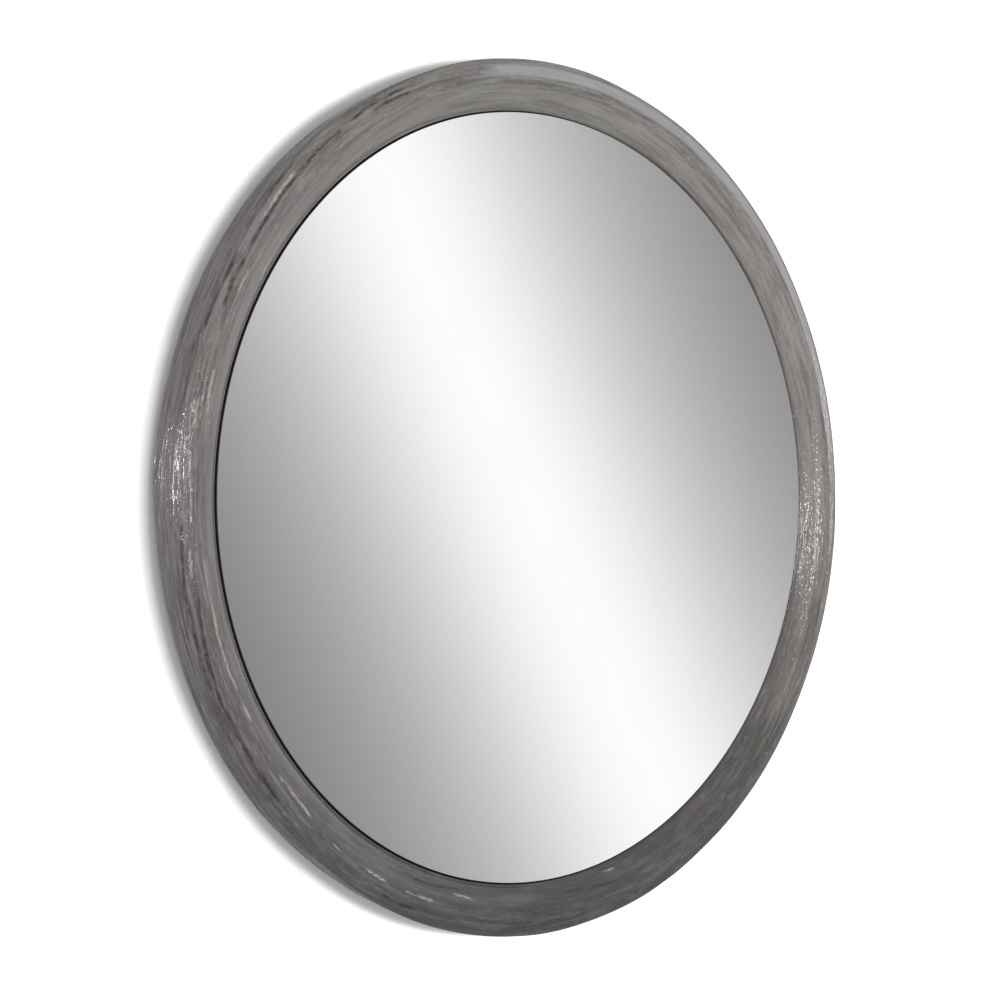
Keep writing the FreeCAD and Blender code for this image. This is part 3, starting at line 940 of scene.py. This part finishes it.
def moulded_rubber():
    """Moulded rubber: nearly black and matt, with a fine grain from the mould."""
    material, tree, shader = new_finish("moulded_black_rubber", IOR=1.5)
    place = add(tree, "TexCoord").outputs["Object"]
    grain = add(tree, "TexNoise", {"Vector": place, "Scale": 1 / RUBBER_GRAIN, "Detail": 2.0})
    tone = add(tree, "Mix", {0: grain.outputs[0], 6: colour("141414"), 7: colour("232323")}, data_type="RGBA")
    sheen = add(tree, "MapRange", {"Value": grain.outputs[0], "To Min": 0.6, "To Max": 0.8})
    relief = add(tree, "Bump", {"Height": grain.outputs[0], "Strength": 0.3, "Distance": 0.0001})
    dress(tree, shader, tone, sheen, relief)
    return material


def wall_bumpers():
    low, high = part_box("wall_bumpers")
    ring_radius = (high.x - BUMPER_RADIUS) / math.cos(BUMPER_TURN)
    crown = BUMPER_RADIUS - BUMPER_TAPER
    outline = [(0, low.y), (BUMPER_RADIUS, low.y), (BUMPER_RADIUS, low.y + BUMPER_SKIRT)]
    for k in range(BUMPER_ROUND_STEPS + 1):
        turn = math.pi / 2 * k / BUMPER_ROUND_STEPS
        radius = crown - BUMPER_ROUND * (1 - math.cos(turn))
        outline.append((radius, high.y - BUMPER_ROUND * (1 - math.sin(turn))))
    slope_start, slope_end, fallen = DIMPLE_SHARES
    outline += [(crown * slope_start, high.y), (crown * slope_end, high.y - BUMPER_DIMPLE * fallen)]
    outline.append((0, high.y - BUMPER_DIMPLE))
    mesh = turned(outline, Vector((0, 0, 0)), BUMPER_STEPS)
    turns = (BUMPER_TURN, math.pi - BUMPER_TURN, math.pi + BUMPER_TURN, -BUMPER_TURN)
    set_out(mesh, [on_ring(ring_radius, turn) for turn in turns], 0)
    shade(mesh)
    stand_for(new_piece("moulded_bumpers", mesh, moulded_rubber()), "mirror", "bumper_rubber", "wall_bumpers")


wall_bumpers()


# Studio wall and floor
# A white wall that the mirror hangs on, and a pale floor below it. Each shows from its front side only,
# so that the back of the mirror can be seen, and each keeps the mirror's shadow.
WALL_WIDTH = 14.0
WALL_TOP = 6.0
FLOOR_DROP = 1.45
FLOOR_DEPTH = 3.0
PAINT_GRAIN = 0.025
STAGE_LIFT = 0.06


def stage_paint(name):
    """Matt white paint that renders white under the camera and lets other rays through."""
    material = bpy.data.materials.new(name)
    material.use_nodes = True
    tree = material.node_tree
    tree.nodes.clear()
    place = add(tree, "TexCoord").outputs["Object"]
    grain = add(tree, "TexNoise", {"Vector": place, "Scale": 1 / PAINT_GRAIN, "Detail": 2.0})
    tone = add(tree, "Mix", {0: grain.outputs[0], 6: colour("ededed"), 7: colour("f0f0f0")}, data_type="RGBA")
    matt = add(tree, "BsdfDiffuse", {"Color": tone.outputs[2]})
    lift = add(tree, "Emission", {"Color": colour("ffffff"), "Strength": STAGE_LIFT})
    lit = add(tree, "AddShader", {0: matt.outputs[0], 1: lift.outputs[0]})
    clear = add(tree, "BsdfTransparent")
    behind = add(tree, "NewGeometry").outputs["Backfacing"]
    seen = add(tree, "LightPath").outputs["Is Camera Ray"]
    front = add(tree, "Math", {0: 1.0, 1: behind}, operation="SUBTRACT")
    shown = add(tree, "Math", {0: front.outputs[0], 1: seen}, operation="MULTIPLY")
    surface = add(tree, "MixShader", {0: shown.outputs[0], 1: clear.outputs[0], 2: lit.outputs[0]})
    add(tree, "OutputMaterial", {"Surface": surface.outputs[0]})
    return material


def stage_plane(name, corners):
    mesh = bmesh.new()
    made = bmesh.ops.contextual_create(mesh, geom=[mesh.verts.new(corner) for corner in corners])
    bmesh.ops.reverse_faces(mesh, faces=made["faces"])
    plane = new_piece(name, mesh, stage_paint(name))
    return plane


half_wall = WALL_WIDTH / 2
wall = stage_plane("white_wall", [
    (-half_wall, 0, -FLOOR_DROP), (half_wall, 0, -FLOOR_DROP),
    (half_wall, 0, WALL_TOP), (-half_wall, 0, WALL_TOP)
])
floor = stage_plane("pale_floor", [
    (-half_wall, 0, -FLOOR_DROP), (-half_wall, -FLOOR_DEPTH, -FLOOR_DROP),
    (half_wall, -FLOOR_DEPTH, -FLOOR_DROP), (half_wall, 0, -FLOOR_DROP)
])


# Lights
# A wide, low key throws the short shadow to the left, and a wash from the same place lights the wall only.
# Small lamps near the height of the centre are seen in the gloss alone, as sparkles along the reeds, each on
# one side of the ring. The pane is left out of what the lamps light, and reflects the surround alone.
KEY_AZIMUTH = 3.0
KEY_DISTANCE = 3.0
KEY_SIZE = (1.4, 0.47)
SPARKLE_DISTANCE = 2.6
SPARKLE_SIZE = (0.3, 0.5)


def lamp(name, azimuth, distance, height, size, power, lit):
    """Area lamp of a width and height, aimed at the mirror. Azimuth is from -Y towards +X, in degrees."""
    turn = math.radians(azimuth)
    data = bpy.data.lights.new(name, "AREA")
    data.shape = "RECTANGLE"
    data.size = size[0]
    data.size_y = size[1]
    data.energy = power
    light = bpy.data.objects.new(name, data)
    light.location = (distance * math.sin(turn), -distance * math.cos(turn), height)
    light.rotation_mode = "QUATERNION"
    light.rotation_quaternion = light.location.to_track_quat("Z", "Y")
    light.visible_camera = False
    bpy.context.scene.collection.objects.link(light)
    light.light_linking.receiver_collection = lit
    return light


def light_group(name, state, *members):
    """Collection that a lamp lights alone, or leaves out."""
    group = bpy.data.collections.new(name)
    for member in members:
        group.objects.link(member)
    for link in group.collection_objects:
        link.light_linking.link_state = state
    return group


all_but_the_pane = light_group("all_but_the_pane", "EXCLUDE", pane)
wall_and_floor = light_group("wall_and_floor", "INCLUDE", wall, floor)
key = lamp("wide_key", KEY_AZIMUTH, KEY_DISTANCE, 0.0, KEY_SIZE, 24, all_but_the_pane)
key.visible_glossy = False
lamp("wash_on_the_wall", KEY_AZIMUTH, KEY_DISTANCE, 0.0, KEY_SIZE, 80, wall_and_floor)
left_sections = light_group("left_sections", "INCLUDE", *sections[2:4])
right_sections = light_group("right_sections", "INCLUDE", sections[0], sections[5])
for name, azimuth, height, power, lit in (
    ("sparkle_edge", -124, 0.27, 8, left_sections),
    ("sparkle_left", -99, 0.25, 27, left_sections),
    ("sparkle_middle", -53, 0.25, 20, left_sections),
    ("sparkle_front", -10, 0.15, 7, left_sections),
    ("sparkle_shoulder", 62, 0.08, 4.5, right_sections),
    ("sparkle_crest", -3, 0.22, 11, right_sections),
    ("sparkle_slope", -40, 0.36, 17, right_sections),
):
    sparkle = lamp(name, azimuth, SPARKLE_DISTANCE, height, SPARKLE_SIZE, power, lit)
    sparkle.visible_diffuse = False


# Surround
# White behind the mirror for the camera. Glossy rays meet soft diagonal bands of white and grey at eye level,
# as from long soft boxes, and a wall with a pale patch to the right. All other rays meet a soft, even light.
BAND_HALF_TURN = 0.175
BAND_FALL = 0.59
BAND_REPEAT = 1.25
BAND_OFFSET = 0.018
BAND_PEAK = 0.98
BAND_LOW = 0.022
PATCH_TONE = 0.9
SOFT_LIGHT = 0.75
band_axis = Vector((0.692, 0.598, 0.404)).normalized()
bright_side = Vector((0.09, 0.21, -0.06))


def studio_surround():
    world = bpy.data.worlds.new("studio_surround")
    world.use_nodes = True
    bpy.context.scene.world = world
    tree = world.node_tree
    tree.nodes.clear()
    direction = add(tree, "TexCoord").outputs["Generated"]
    axes = add(tree, "SeparateXYZ", {"Vector": direction})
    across = add(tree, "VectorMath", {0: direction, 1: band_axis}, operation="DOT_PRODUCT").outputs["Value"]
    turns = add(tree, "Math", {0: across, 1: 1 / BAND_HALF_TURN, 2: -BAND_OFFSET}, operation="MULTIPLY_ADD")
    folded = add(tree, "Math", {0: turns.outputs[0], 1: BAND_REPEAT}, operation="PINGPONG")
    scaled = add(tree, "Math", {0: folded.outputs[0], 1: BAND_FALL}, operation="DIVIDE")
    squared = add(tree, "Math", {0: scaled.outputs[0], 1: 2.0}, operation="POWER")
    under = add(tree, "Math", {0: squared.outputs[0], 1: 1.0}, operation="ADD")
    falling = add(tree, "Math", {0: BAND_PEAK, 1: under.outputs[0]}, operation="DIVIDE")
    bands = add(tree, "Math", {0: falling.outputs[0], 1: BAND_LOW}, operation="ADD")
    height = add(tree, "Math", {0: axes.outputs[2]}, operation="ABSOLUTE")
    off_level = add(tree, "MapRange", {"Value": height.outputs[0], "From Min": 0.26, "From Max": 0.45})
    off_side = add(tree, "MapRange", {"Value": axes.outputs[0], "From Min": 0.86, "From Max": 0.96})
    away = add(tree, "Math", {0: off_level.outputs[0], 1: off_side.outputs[0]}, operation="MAXIMUM")
    far_tone = add(
        tree, "MapRange",
        {"Value": axes.outputs[2], "From Min": -0.5, "From Max": 0.5, "To Min": 0.3, "To Max": 0.6},
    )
    room = add(tree, "Mix", {0: away.outputs[0], 2: bands.outputs[0], 3: far_tone.outputs[0]})
    wall_side = add(tree, "MapRange", {"Value": axes.outputs[1], "From Min": -0.15, "From Max": 0.2})
    # The edges of the pale patch, as (axis of the direction, where it starts, where it is full, least share).
    patch_edges = ((1, 0.3, 0.45, 0), (1, 0.74, 0.64, 0.3), (0, 0.35, 0.6, 0), (2, -0.35, 0.1, 0.3))
    pale_wall = 1.0
    for axis, low, high, least in patch_edges:
        edge = add(
            tree, "MapRange",
            {"Value": axes.outputs[axis], "From Min": low, "From Max": high, "To Min": least},
        )
        pale_wall = add(tree, "Math", {0: edge.outputs[0], 1: pale_wall}, operation="MULTIPLY").outputs[0]
    dim_wall = add(
        tree, "MapRange",
        {"Value": height.outputs[0], "From Min": 0.1, "From Max": 0.5, "To Min": 0.4, "To Max": 0.2},
    )
    wall_tone = add(tree, "Mix", {0: pale_wall, 2: dim_wall.outputs[0], 3: PATCH_TONE})
    glossy = add(tree, "Mix", {0: wall_side.outputs[0], 2: room.outputs[0], 3: wall_tone.outputs[0]})
    side = add(tree, "VectorMath", {0: direction, 1: bright_side}, operation="DOT_PRODUCT").outputs["Value"]
    ambient = add(tree, "Math", {0: side, 1: SOFT_LIGHT}, operation="ADD")
    path = add(tree, "LightPath")
    met = add(tree, "Mix", {0: path.outputs["Is Glossy Ray"], 2: ambient.outputs[0], 3: glossy.outputs[0]})
    level = add(tree, "Mix", {0: path.outputs["Is Camera Ray"], 2: met.outputs[0], 3: 1.0})
    light = add(tree, "Background", {"Color": colour("ffffff"), "Strength": level.outputs[0]})
    add(tree, "OutputWorld", {"Surface": light.outputs[0]})


studio_surround()


# Camera
# Left of the mirror and level with its centre, as the picture was taken.
VIEW_TURN = math.radians(41.2)
VIEW_DISTANCE = 1.843
AIM_LEFT = 0.0392
LENS = 62.33


def camera():
    data = bpy.data.cameras.new("camera")
    data.lens = LENS
    seat = Vector((0, board_back, 0))
    place = seat - VIEW_DISTANCE * Vector((math.sin(VIEW_TURN), math.cos(VIEW_TURN), 0))
    aim = seat - AIM_LEFT * Vector((math.cos(VIEW_TURN), -math.sin(VIEW_TURN), 0))
    viewer = bpy.data.objects.new("camera", data)
    viewer.location = place
    viewer.rotation_mode = "QUATERNION"
    viewer.rotation_quaternion = (aim - place).to_track_quat("-Z", "Y")
    bpy.context.scene.collection.objects.link(viewer)
    bpy.context.scene.camera = viewer


camera()
bpy.context.scene.view_settings.view_transform = "Standard"
